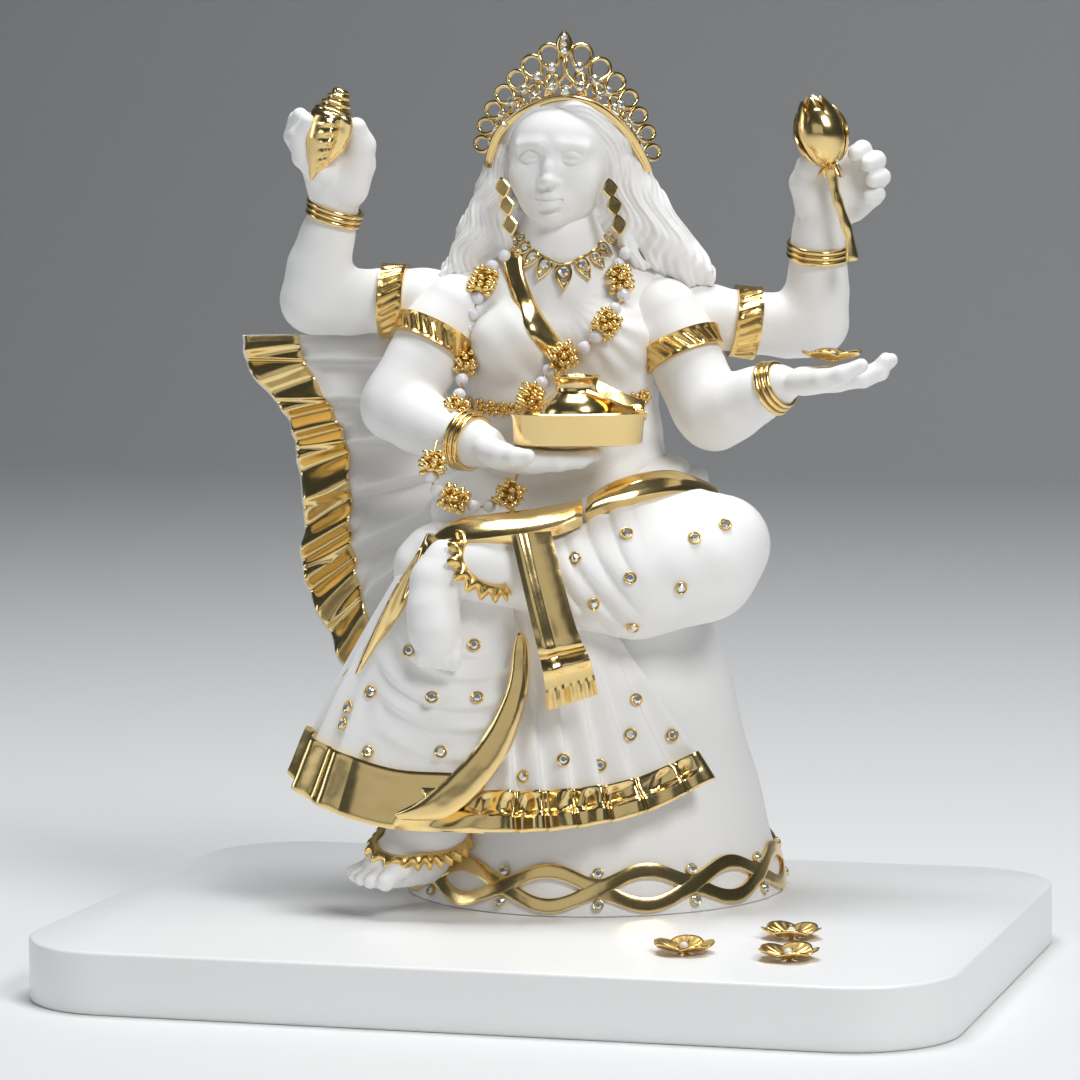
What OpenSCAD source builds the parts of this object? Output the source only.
// Four-armed seated goddess statuette, standing on a white board with three loose flowers.
// Bisque porcelain figure with gold-plated trims, pearls and cut stones. Millimetres, +Z up.
// The board's underside is at z = 0, centred on the origin; the viewer stands on the -Y side.

/* [Board] */
// Width of the board
board_w = 330; // [320:1:340]
// Depth of the board
board_d = 245; // [245:1:260]
// Thickness of the board
board_t = 22; // [18:1:28]
// Radius of the board's corners
board_corner_r = 38; // [20:1:60]

/* [Drum] */
// Radius of the drum at its foot
drum_foot_r = 70; // [68:0.5:70]
// Radius of the drum under the seat
drum_top_r = 42; // [38:1:46]
// Height of the drum
drum_h = 108; // [104:1:112]
// Thickness of the cast wall
drum_wall = 4; // [3:0.5:6]
// Height of the openwork band round the drum's foot
band_h = 17; // [14:1:20]
// Number of loops in the band
band_loops = 12; // [8:1:16]

/* [Figure] */
// Turn of the figure on the board, in degrees
figure_turn = 16; // [10:1:20]
// Place of the drum's centre across the board
figure_x = 2; // [-4:0.5:6]
// Place of the drum's centre from front to back
figure_y = 49.5; // [46:0.5:50]
// Radius of the crown's rim
crown_r = 28.5; // [27:0.5:30]
// Diameter of a pearl in the garland
pearl_d = 4.8; // [4:0.1:5]
// Diameter of a cut stone on the skirt
stone_d = 3.2; // [2.6:0.1:3.6]
// Diameter of a loose flower
flower_d = 23; // [20:0.5:24]

/* [Hidden] */
$fn = 48;

BISQUE = "WhiteSmoke";
GOLD = "Gold";
STONE = "LightCyan";
sheet_t = 1.2;                 // thickness of the gold sheet borders
bite = 0.4;                    // how far a cemented trim sinks into what it sits on

// Crown: the rim's centre in the figure's frame, and its end angle from the top
crown_c = [-8, -5, 258.5];
crown_span = 76;
crown_wire = 2;

// Loose flowers, by their centres on the board
loose_spots = [[67, -76], [96, -40], [104, -79]];
palm_spot = [85, -38, 194.6];

// Limbs, as joints [x, y, z, radius]
rear_right = [[-50, 6, 214, 12], [-75, 10, 216, 10.5], [-100, 12, 217, 12], [-93, 6, 250, 8],
    [-94, 0, 263, 8]];
rear_left = [[26, 6, 210, 12], [56, 10, 207, 11], [83, 12, 208, 12], [82, 6, 233, 8.5],
    [84, 1, 246, 8.5], [91, 0, 253, 8]];
front_right = [[-52, -2, 212, 13], [-61, -8, 197, 12], [-72, -12, 180, 12.5], [-47, -34, 168, 8.5],
    [-38, -42, 165, 7], [-14, -50, 160.5, 5]];
front_left = [[28, -2, 210, 13], [36, -8, 190, 12], [43, -14, 176, 12], [65, -31, 186, 7.5],
    [76, -36, 188, 6.2], [88, -38, 189, 5]];

// Hem of the skirt and the edge of the drape above it, from the viewer's left to right
hem = [[-101, -45, 47], [-90, -55, 42], [-72, -64, 37], [-52, -70, 38], [-28, -72, 37],
    [-8, -71, 38], [16, -64, 43], [36, -52, 52]];
drape_edge = [[-62, -40, 114], [-60, -46, 112], [-56, -52, 110], [-46, -56, 108], [-28, -56, 106],
    [-6, -56, 102], [12, -54, 98], [28, -46, 94]];

// Outer edge, inner edge of the border, and root of the pleated sari end
fan_out = [[-129, 22, 200], [-123, 22, 188], [-114, 20, 175], [-107, 18, 160], [-108, 14, 142],
    [-107, 8, 121], [-101, 0, 99], [-92, -10, 81]];
fan_in = [[-108, 21, 204], [-103, 20, 193], [-94, 18, 175], [-90, 15, 157], [-88, 11, 135],
    [-88, 4, 114], [-88, -4, 96], [-84, -12, 86]];
fan_root = [[-64, 12, 200], [-58, 12, 186], [-54, 10, 172], [-52, 8, 158], [-52, 4, 146],
    [-54, -2, 134], [-58, -10, 122], [-64, -16, 112]];

// Garland: pearls and flower clusters along one wire, from the viewer's left shoulder and round
pearls_left = [[-32, -15, 232], [-36, -17, 228], [-42, -20, 217], [-43, -22, 212], [-45, -24, 207],
    [-46, -25, 202], [-47, -26, 188], [-48, -27, 183]];
flowers_left = [[-40, -19, 223], [-46, -26, 195], [-50, -28, 178]];
pearls_low = [[-58, -46, 156], [-56, -47, 151], [-43, -49, 145], [-37, -49, 145]];
flowers_low = [[-57, -43, 160], [-50, -48, 148], [-30, -49, 150]];
flowers_right = [[-23, -34, 181], [-12, -32, 197], [5, -27, 209], [10, -20, 223]];
pearls_right = [[-19, -33, 187], [-16, -32, 191], [-3, -30, 200], [1, -28, 204], [8, -25, 214],
    [11, -22, 218], [9, -18, 229], [12, -15, 232]];
garland_path = [[-28, -10, 236], [-36, -17, 228], [-40, -19, 223], [-43, -22, 212], [-46, -25, 202],
    [-48, -27, 183], [-50, -28, 178], [-57, -43, 160], [-56, -47, 151], [-50, -48, 148],
    [-43, -49, 145], [-37, -49, 145], [-30, -49, 150], [-26, -40, 166], [-23, -34, 181],
    [-16, -32, 191], [-12, -32, 197], [-3, -30, 200], [5, -27, 209], [8, -25, 214],
    [10, -20, 223], [12, -15, 232], [8, -8, 238]];

// Cut stones on the knee and the skirt, where their cups sit
knee_studs = [[-7, -68, 128], [12, -69, 121], [35, -56, 134], [11, -55, 136], [30, -65, 117],
    [-1, -68, 112], [13, -62, 103]];
skirt_studs = [[14, -64, 76], [12, -66, 64], [-12, -72, 57], [1, -71, 54], [-26, -74, 51],
    [27, -60, 63], [-43, -65, 97], [-66, -56, 95], [-58, -65, 79], [-42, -68, 79], [-55, -70, 60],
    [-81, -60, 59], [-88, -46, 74], [-90, -50, 68], [-80, -52, 80]];

// Places a piece in the figure's own frame on the board
module on_board() translate([figure_x, figure_y, board_t]) rotate(figure_turn) children();

// Turns a piece's +Z to run from point a towards point b, and puts it at p
module along(p, a, b) {
    d = b - a;
    translate(p) rotate([0, acos(d[2] / norm(d)), atan2(d[1], d[0])]) children();
}

module ball(j) translate([j[0], j[1], j[2]]) sphere(r = j[3], $fn = 16);
module link(a, b) hull() { ball(a); ball(b); }
module limb(js) for (i = [0 : len(js) - 2]) link(js[i], js[i + 1]);

// A slender bead, used for fingers and stems
module bead(j) translate([j[0], j[1], j[2]]) sphere(r = j[3], $fn = 10);
module finger(js) for (i = [0 : len(js) - 2]) hull() { bead(js[i]); bead(js[i + 1]); }

// A level of the body: two balls at the same height, either side of the middle
module level(l) for (side = [-1, 1]) ball([l[0] + side * l[3], l[1], l[2], l[4]]);
module body(ls) for (i = [0 : len(ls) - 2]) hull() { level(ls[i]); level(ls[i + 1]); }

// A strip of gold sheet between two edges, each a list of points, thickened towards the viewer
function edge_dir(a, i) = a[min(i + 1, len(a) - 1)] - a[max(i - 1, 0)];
function unit(v) = v / norm(v);
function lift(a, b, i, t) = unit(cross(edge_dir(a, i), b[i] - a[i])) * t;
function quad(p, q, r, s) = [[p, q, r], [p, r, s]];
module ribbon(a, b, t) {
    n = len(a);
    pts = concat(a, b, [for (i = [0 : n - 1]) b[i] + lift(a, b, i, t)],
        [for (i = [0 : n - 1]) a[i] + lift(a, b, i, t)]);
    sides = [for (i = [0 : n - 2], k = [0 : 3])
        each quad(k * n + i, k * n + i + 1, (k + 1) % 4 * n + i + 1, (k + 1) % 4 * n + i)];
    ends = concat(quad(0, n, 2 * n, 3 * n), quad(n - 1, 4 * n - 1, 3 * n - 1, 2 * n - 1));
    polyhedron(pts, concat(sides, ends));
}

module ring(r, wire) rotate_extrude() translate([r, 0]) circle(r = wire / 2, $fn = 24);

// Three bangle rings side by side on a wrist
module bangles(js, k, at, r) {
    a = [for (i = [0 : 2]) js[k][i]];
    b = [for (i = [0 : 2]) js[k + 1][i]];
    for (i = [-1 : 1]) along(a + (b - a) * at, a, b) translate([0, 0, i * 2]) ring(r, 2);
}

// A wide cuff on an upper arm
module cuff(js, k, at, r) {
    a = [for (i = [0 : 2]) js[k][i]];
    b = [for (i = [0 : 2]) js[k + 1][i]];
    along(a + (b - a) * at, a, b) difference() {
        cylinder(r = r + 1.6, h = 9, center = true);
        cylinder(r = r - bite, h = 10, center = true);
    }
}

// A flat five-petalled flower with a pearl, lying on its back
module flat_flower() {
    petal_r = flower_d / 5.4;
    for (i = [0 : 4]) rotate(i * 72) translate([flower_d / 2 - petal_r, 0, 0])
        cylinder(r = petal_r, h = 1.8);
    cylinder(r = flower_d / 4, h = 1.8);
    translate([0, 0, 1.8]) sphere(r = 1.8);
}

// A gold flower cluster of the garland
module rosette() {
    for (z = [-2.4 : 2.4 : 2.4]) translate([0, 0, z]) cylinder(r = 4.8, h = 1.8, center = true);
    cylinder(r = 2.6, h = 7, center = true);
}

// ---- the board and the drum ----

module slab() color("White") linear_extrude(board_t) union() {
    square([board_w - 2 * board_corner_r, board_d], center = true);
    square([board_w, board_d - 2 * board_corner_r], center = true);
    for (x = [-1, 1], y = [-1, 1])
        translate([x * (board_w / 2 - board_corner_r), y * (board_d / 2 - board_corner_r)])
            circle(r = board_corner_r);
}

function drum_r(z) = drum_foot_r - (drum_foot_r - drum_top_r) * z / drum_h;

module pedestal() color(BISQUE) on_board() rotate_extrude() polygon([
    [drum_r(0), 0], [drum_r(drum_h), drum_h], [0, drum_h], [0, drum_h - drum_wall],
    [drum_r(drum_h) - drum_wall, drum_h - drum_wall], [drum_r(0) - drum_wall, 0]]);

module pedestal_band() color(GOLD) on_board() difference() {
    z0 = 1.5;
    z1 = z0 + band_h;
    rotate_extrude() polygon([[drum_r(z0) - bite, z0], [drum_r(z0) + 1.4, z0],
        [drum_r(z1) + 1.4, z1], [drum_r(z1) - bite, z1]]);
    // each loop is open: the gap is where two large circles cross
    for (i = [0 : band_loops - 1]) rotate((i + 0.5) * 360 / band_loops)
        translate([0, 0, z0 + band_h / 2]) rotate([0, 90, 0]) intersection_for(side = [-1, 1])
            translate([side * 11, 0, 50]) cylinder(r = 16, h = 30);
}

module band_stones() color(STONE) on_board()
    for (i = [0 : band_loops - 1], level_z = [5.5, 14.5])
        rotate(i * 360 / band_loops)
            translate([drum_r(level_z) + 1.2, 0, level_z]) sphere(r = 1.8);

// ---- the body ----

// Each cast blank is cut back to the one before it, so that neighbours meet face to face.
// The drum and its band keep a little room round them.
module drum_room(air) translate([0, 0, -1])
    cylinder(r1 = drum_r(-1) + air, r2 = drum_r(drum_h) + air, h = drum_h + 1 + bite);

module torso_form() {
    body([[-10, -2, 142, 26, 20], [-10, 0, 162, 17, 18], [-11, -2, 182, 16, 19],
        [-12, -2, 200, 20, 18], [-12, 2, 214, 34, 11], [-12, -2, 224, 8, 9], [-13, -3, 242, 1, 13]]);
    for (x = [-30, 6]) hull() {
        ball([x, -13, 203, 12]);
        ball([x, -2, 196, 14]);
    }
}

module torso() color(BISQUE) on_board() torso_form();

module head_form() hull() {
    ball([-11, 3, 267.5, 21]);
    ball([-12, -4, 260, 18]);
    ball([-13, -9, 252, 12]);
}

module head() color(BISQUE) on_board() difference() {
    head_form();
    torso_form();
}

module hair_form() {
    translate([-9, 9, 262]) scale([1, 0.62, 1]) sphere(r = 27);
    limb([[-11, 12, 262, 20], [-13, 14, 246, 20], [-13, 18, 220, 17], [-13, 18, 186, 11]]);
    limb([[-33, 3, 262, 8], [-38, 6, 246, 8], [-46, 10, 232, 9], [-48, 14, 222, 8]]);
    limb([[9, 3, 262, 8], [17, 6, 246, 8], [32, 10, 232, 9], [36, 14, 222, 8]]);
}

module hair() color(BISQUE) on_board() difference() {
    hair_form();
    head_form();
    torso_form();
}

module rear_right_form() {
    limb(rear_right);
    finger([[-90, -1, 262, 5], [-83, -4, 272, 4.2], [-83, -7, 279, 3.6]]);
    for (i = [0 : 3]) finger([[-99, 5 - i * 4, 266, 4.4], [-107, 6 - i * 5, 273, 3.4],
        [-108 + i, 2 - i * 5, 285 - 2 * i, 2.8]]);
}

module rear_right_arm() color(BISQUE) on_board() difference() {
    rear_right_form();
    torso_form();
    hair_form();
}

module rear_left_form() {
    limb(rear_left);
    finger([[80, -1, 248, 5.2], [77, -5, 258, 4.2], [79, -9, 264, 3.6]]);
    for (i = [0 : 3]) finger([[93, 5 - i * 3, 256, 4.6], [101, 5 - i * 4, 262, 3.6],
        [102 - 2 * i, 1 - i * 4, 268 + i, 2.8]]);
}

module rear_left_arm() color(BISQUE) on_board() difference() {
    rear_left_form();
    torso_form();
    hair_form();
}

module front_right_form() {
    limb(front_right);
    finger([[-40, -50, 166, 4.6], [-28, -58, 167, 3.6]]);
    for (i = [0 : 3]) finger([[-14, -46 - i * 3, 160.5, 4.2], [0, -44 - i * 5, 161, 3.2]]);
}

module front_right_arm() color(BISQUE) on_board() difference() {
    front_right_form();
    torso_form();
    rear_right_form();
    hair_form();
}

module front_left_form() {
    limb(front_left);
    finger([[74, -42, 188.5, 4.2], [84, -50, 190, 3.4], [94, -52, 195, 2.8]]);
    for (i = [0 : 3]) finger([[87, -33 - i * 3, 188.5, 4.2], [98, -30 - i * 5, 190, 3.2],
        [106 - i, -30 - i * 5, 195, 2.6]]);
}

module front_left_arm() color(BISQUE) on_board() difference() {
    front_left_form();
    torso_form();
    rear_left_form();
    hair_form();
}

module lap_form() {
    body([[-10, -6, 126, 30, 22], [-10, -4, 140, 27, 19]]);
    body([[-14, -30, 120, 34, 20], [-10, -6, 126, 30, 22]]);
}

module lap_drape() color(BISQUE) on_board() difference() {
    lap_form();
    torso_form();
    drum_room(bite);
}

module leg_form() {
    limb([[8, -14, 128, 22], [22, -28, 131, 20], [44, -38, 128, 16.5], [36, -44, 121, 18],
        [12, -50, 117, 19], [-8, -54, 119, 16], [-28, -58, 123, 12], [-38, -60, 126, 9],
        [-48, -60, 126, 8]]);
    link([8, -14, 128, 22], [12, -48, 120, 18]);
}

module crossed_leg() color(BISQUE) on_board() difference() {
    leg_form();
    lap_form();
    torso_form();
    drum_room(bite);
}

module crossed_foot() color(BISQUE) on_board() difference() {
    foot_form();
    leg_form();
}

module foot_form() {
    limb([[-46, -60, 126, 9.5], [-56, -62, 123, 9.5], [-58, -66, 112, 9], [-58, -69, 103, 8.5]]);
    for (i = [0 : 4]) finger([[-63 + i * 3, -69, 103, 3.8], [-63.5 + i * 3, -71, 96.5 - i, 2.6]]);
}

module standing_foot() color(BISQUE) on_board() difference() {
    union() {
        limb([[-56, -36, 34, 10], [-60, -44, 26, 10], [-66, -50, 20, 9], [-76, -57, 16, 7]]);
        for (i = [0 : 4]) finger([[-77 + i * 2, -52 - i * 3, 15, 4.2], [-87 + i * 2, -58 - i * 3, 13, 3.6]]);
    }
    // the sole is flat, and hangs a little above the board
    translate([-120, -100, -20]) cube([120, 100, 29]);
    drum_room(2);
    lap_form();
}

module skirt() color(BISQUE) on_board() difference() {
    skirt_form();
    drum_room(bite);
    lap_form();
    leg_form();
    foot_form();
}

module skirt_form() {
    for (i = [0 : len(hem) - 2]) hull() {
        for (k = [i, i + 1]) {
            ball(concat(hem[k], 4));
            ball(concat(drape_edge[k], 6));
            ball([hem[k][0] * 0.7, hem[k][1] + 22, 60, 5]);
        }
    }
    link([-62, -40, 112, 8], [28, -44, 98, 10]);
}

module fan() color(BISQUE) on_board() difference() {
    fan_form();
    torso_form();
    lap_form();
    rear_right_form();
    leg_form();
    skirt_form();
}

module fan_form() for (i = [0 : len(fan_out) - 2]) {
    hull() for (k = [i, i + 1]) {
        bead(concat(fan_out[k], 2));
        bead(concat(fan_in[k], 3));
    }
    hull() for (k = [i, i + 1]) {
        bead(concat(fan_in[k], 3));
        bead(concat(fan_root[k], 6));
    }
}

// ---- the crown and the jewellery of the head ----

// The crown's plane stands upright, with its arch in X and Z
module crown_plane(t) on_board() translate(crown_c) rotate([90, 0, 0])
    linear_extrude(t, center = true) children();

module crown_rim() color(GOLD) on_board() translate(crown_c) rotate([90, 0, 0])
    rotate(90 - crown_span) rotate_extrude(angle = 2 * crown_span)
        translate([crown_r, 0]) circle(r = crown_wire / 2, $fn = 24);

crown_pitch = 10.5;            // angle between loops
module crown_loop(a, r, loop_r) rotate(-a) translate([0, r]) difference() {
    circle(r = loop_r);
    circle(r = loop_r - 0.9);
}

module crown_openwork() color(GOLD) crown_plane(1.6) {
    for (i = [-7 : 7]) crown_loop(i * crown_pitch, crown_r + 3.6, 3.2);
    for (i = [-5.5 : 5.5]) crown_loop(i * crown_pitch, crown_r + 9, 3.4);
    for (i = [-3 : 3]) crown_loop(i * crown_pitch, crown_r + 14.4, 3.6);
}

module crown_finial() color(GOLD) crown_plane(2.4) union() {
    translate([0, crown_r + 20]) circle(r = 3.4);
    translate([0, crown_r + 22]) rotate(45) square(3.6 * sqrt(2), center = true);
}

module crown_stones() color(STONE) on_board() translate(crown_c + [0, -1.2, 0])
    for (i = [-7 : 7]) rotate([0, i * crown_pitch, 0]) translate([0, 0, crown_r + 1]) sphere(r = 1.5);

// Three polished lozenges in a row
module earring(top, lean) color(GOLD) on_board() translate(top) rotate([0, lean, 0])
    for (i = [0 : 2]) translate([0, 0, -3.2 - i * 6]) rotate([90, 45, 0])
        cube([4.8, 4.8, 1.4], center = true);
module earring_right() earring([-32, -15, 260], -8);
module earring_left() earring([6.5, -15, 258], -10);

// Collar of drop links round the base of the neck
collar_c = [-11.5, 2, 239];
function collar_at(a) = collar_c + [20 * sin(a), -20 * cos(a) - 4, -9 * cos(a) * cos(a) - 2];
module necklace_links() color(GOLD) on_board() for (i = [-4 : 4])
    translate(collar_at(i * 20)) rotate([90, 0, 0]) cylinder(r = i == 0 ? 4.4 : 2.9, h = 1.6);
module necklace_stones() color(STONE) on_board() for (i = [-4 : 4])
    translate(collar_at(i * 20) + [0, -1.6, 0]) sphere(r = i == 0 ? 1.8 : 1.2);

// ---- the garland, sash and chain ----

module garland_wire() color(GOLD) on_board() for (i = [0 : len(garland_path) - 2]) hull()
    for (k = [i, i + 1]) translate(garland_path[k]) sphere(r = 0.6, $fn = 6);

module garland_pearls() color("Ivory") on_board()
    for (p = concat(pearls_left, pearls_low, pearls_right)) translate(p) sphere(r = pearl_d / 2);

module garland_flowers() color(GOLD) on_board()
    for (p = concat(flowers_left, flowers_low, flowers_right)) translate(p) rosette();

module chest_sash() color(GOLD) on_board() ribbon(
    [[-32, -15, 231], [-28, -21, 217], [-23, -27, 205], [-15, -30, 195]],
    [[-26, -16, 231], [-23, -22, 218], [-17, -28, 208], [-10, -30, 199]], sheet_t);

module waist_chain() color(GOLD) on_board() for (x = [-46, -38, -30])
    translate([x, -24, 177]) rotate([90, 0, 0]) cylinder(r = 3.6, h = 2.4);

module rear_right_armlet() color(GOLD) on_board() cuff(rear_right, 0, 0.95, 10.8);
module rear_left_armlet() color(GOLD) on_board() cuff(rear_left, 0, 1, 11);
module front_right_armlet() color(GOLD) on_board() cuff(front_right, 0, 0.95, 12.2);
module front_left_armlet() color(GOLD) on_board() cuff(front_left, 0, 0.95, 12.2);

module rear_right_bangles() color(GOLD) on_board() bangles(rear_right, 2, 0.98, 9);
module rear_left_bangles() color(GOLD) on_board() bangles(rear_left, 2, 0.98, 9.4);
module front_right_bangles() color(GOLD) on_board() bangles(front_right, 2, 0.95, 9.6);
module front_left_bangles() color(GOLD) on_board() bangles(front_left, 2, 0.95, 8.6);

module anklet_crossed() color(GOLD) on_board() for (i = [0, 1])
    along([-42 + i * 3, -60, 126], [0, 0, 0], [1, 0, 0]) ring(9.4, 2.6);
module anklet_standing() color(GOLD) on_board()
    along([-62, -46, 20], [0, 0, 0], [0.4, 0.4, 1]) ring(10.6, 3);

// ---- the gold sheet borders ----

module hip_border() color(GOLD) on_board() {
    ribbon([[-54, -58, 132], [-44, -61, 136], [-26, -63, 138], [-5, -60, 142]],
        [[-56, -56, 136], [-46, -57, 141], [-26, -59, 143], [-5, -56, 147]], sheet_t);
    ribbon([[-2, -57, 143], [16, -53, 148], [30, -44, 149], [44, -24, 144]],
        [[-2, -54, 148], [16, -46, 154], [30, -38, 154], [44, -20, 147]], sheet_t);
}

module side_border() color(GOLD) on_board() ribbon(
    [[-89, -42, 88], [-84, -44, 99], [-74, -48, 118], [-60, -52, 135]],
    [[-84, -48, 86], [-77, -50, 97], [-66, -54, 115], [-55, -56, 133]], sheet_t);

module hanging_sash() color(GOLD) on_board() ribbon(
    [[-15, -78, 77], [-18, -77, 92], [-23, -74, 113], [-29, -68, 134]],
    [[0, -78, 82], [-3, -77, 95], [-9, -74, 114], [-15, -68, 135]], sheet_t);

module fold_border() color(GOLD) on_board() ribbon(
    [[-52, -78, 46], [-41, -79, 62], [-32, -78, 82], [-30, -74, 99]],
    [[-50, -79, 40], [-35, -80, 56], [-27, -79, 79], [-26, -74, 98]], sheet_t);

module hem_border_left() color(GOLD) on_board() ribbon(
    [[-104, -48, 51], [-93, -60, 43], [-73, -69, 35], [-52, -76, 35]],
    [[-102, -48, 63], [-89, -60, 54], [-73, -68, 47], [-52, -75, 47]], sheet_t);

module hem_border_right() color(GOLD) on_board() ribbon(
    [[-52, -77, 35], [-31, -78, 33], [-10, -77, 34], [15, -70, 38], [39, -56, 47]],
    [[-50, -77, 42], [-31, -77, 41], [-10, -76, 42], [15, -69, 47], [36, -56, 57]], sheet_t);

module fan_border() color(GOLD) on_board() ribbon(
    [for (p = fan_out) p + [0, -3, 0]], [for (p = fan_in) p + [0, -4, 0]], sheet_t);

module stud_settings() color(GOLD) on_board() for (p = concat(knee_studs, skirt_studs))
    translate(p) rotate([90, 0, 0]) cylinder(r = stone_d / 2 + 0.8, h = 3, center = true);

module stud_stones() color(STONE) on_board() for (p = concat(knee_studs, skirt_studs))
    translate(p + [0, -1.5, 0]) sphere(r = stone_d / 2);

// ---- what the hands hold ----

module conch() color(GOLD) on_board() limb([[-90.5, -9, 291, 2.6], [-92.5, -10, 285, 5.2],
    [-95, -11, 278, 8.6], [-98, -10, 270, 6], [-101, -9, 263, 1.4]]);

module lotus_bud() color(GOLD) on_board() translate([85, -12, 265]) rotate([0, -6, 0])
    rotate_extrude() polygon([[0, 0], [5, 1], [8.6, 6], [9.6, 12], [8, 19], [5.4, 24], [0, 25]]);

module lotus_stem() color(GOLD) on_board() {
    finger([[85, -12, 266, 2], [85.5, -12, 260, 2.2], [87, -11, 252, 1.4], [91, -11, 241, 1.4],
        [93, -10, 232, 1.8]]);
    for (side = [-1, 1]) hull() {
        bead([85, -12, 264, 1.4]);
        bead([85 + side * 3.6, -11, 258 - side * 2, 1.4]);
    }
}

tray_c = [-6, -48];            // centre of the tray, across and in depth
tray_z = 166.4;                // underside of the tray, on the fingers
tray_h = 11;
module tray_plan(grow) intersection() {
    translate(tray_c + [0, 14]) circle(r = 32 + grow, $fn = 96);
    translate(tray_c - [0, 14]) circle(r = 32 + grow, $fn = 96);
    translate(tray_c) square([47 + 2 * grow, 60], center = true);
}
module tray() color(GOLD) on_board() difference() {
    translate([0, 0, tray_z]) linear_extrude(tray_h) tray_plan(0);
    translate([0, 0, tray_z + tray_h - 3]) linear_extrude(6) tray_plan(-1.6);
}

module pot() color(GOLD) on_board() translate([tray_c[0], tray_c[1], tray_z + tray_h - 3]) {
    rotate_extrude() polygon([[0, 0], [9, 0], [12.4, 2.6], [12.6, 5.4], [9.6, 9], [6.6, 11],
        [7.6, 14], [8.6, 15.4], [0, 15.4]]);
    // the open spout slopes down to the viewer's right
    hull() {
        translate([6, 0, 10]) cube([3, 9, 5], center = true);
        translate([21, 0, 6.6]) cube([3, 7, 2.2], center = true);
    }
}

module coins() color(GOLD) on_board() translate([tray_c[0], tray_c[1], tray_z + tray_h - 3]) {
    for (x = [17.6, 20.6], y = [-3.2, 0.4]) translate([x, y, 0]) cylinder(r = 1.7, h = 2.2 + y / 4);
}

module palm_flower() color(GOLD) on_board() translate(palm_spot) flat_flower();
module loose_flower(i) color(GOLD) translate([loose_spots[i][0], loose_spots[i][1], board_t])
    flat_flower();
module loose_flower_1() loose_flower(0);
module loose_flower_2() loose_flower(1);
module loose_flower_3() loose_flower(2);

slab();
pedestal();
pedestal_band();
band_stones();
lap_drape();
skirt();
fan();
torso();
head();
hair();
rear_right_arm();
rear_left_arm();
front_right_arm();
front_left_arm();
crossed_leg();
crossed_foot();
standing_foot();
crown_rim();
crown_openwork();
crown_finial();
crown_stones();
earring_right();
earring_left();
necklace_links();
necklace_stones();
garland_wire();
garland_pearls();
garland_flowers();
chest_sash();
waist_chain();
rear_right_armlet();
rear_left_armlet();
front_right_armlet();
front_left_armlet();
rear_right_bangles();
rear_left_bangles();
front_right_bangles();
front_left_bangles();
anklet_crossed();
anklet_standing();
hip_border();
side_border();
hanging_sash();
fold_border();
hem_border_left();
hem_border_right();
fan_border();
stud_settings();
stud_stones();
conch();
lotus_bud();
lotus_stem();
tray();
pot();
coins();
palm_flower();
loose_flower_1();
loose_flower_2();
loose_flower_3();
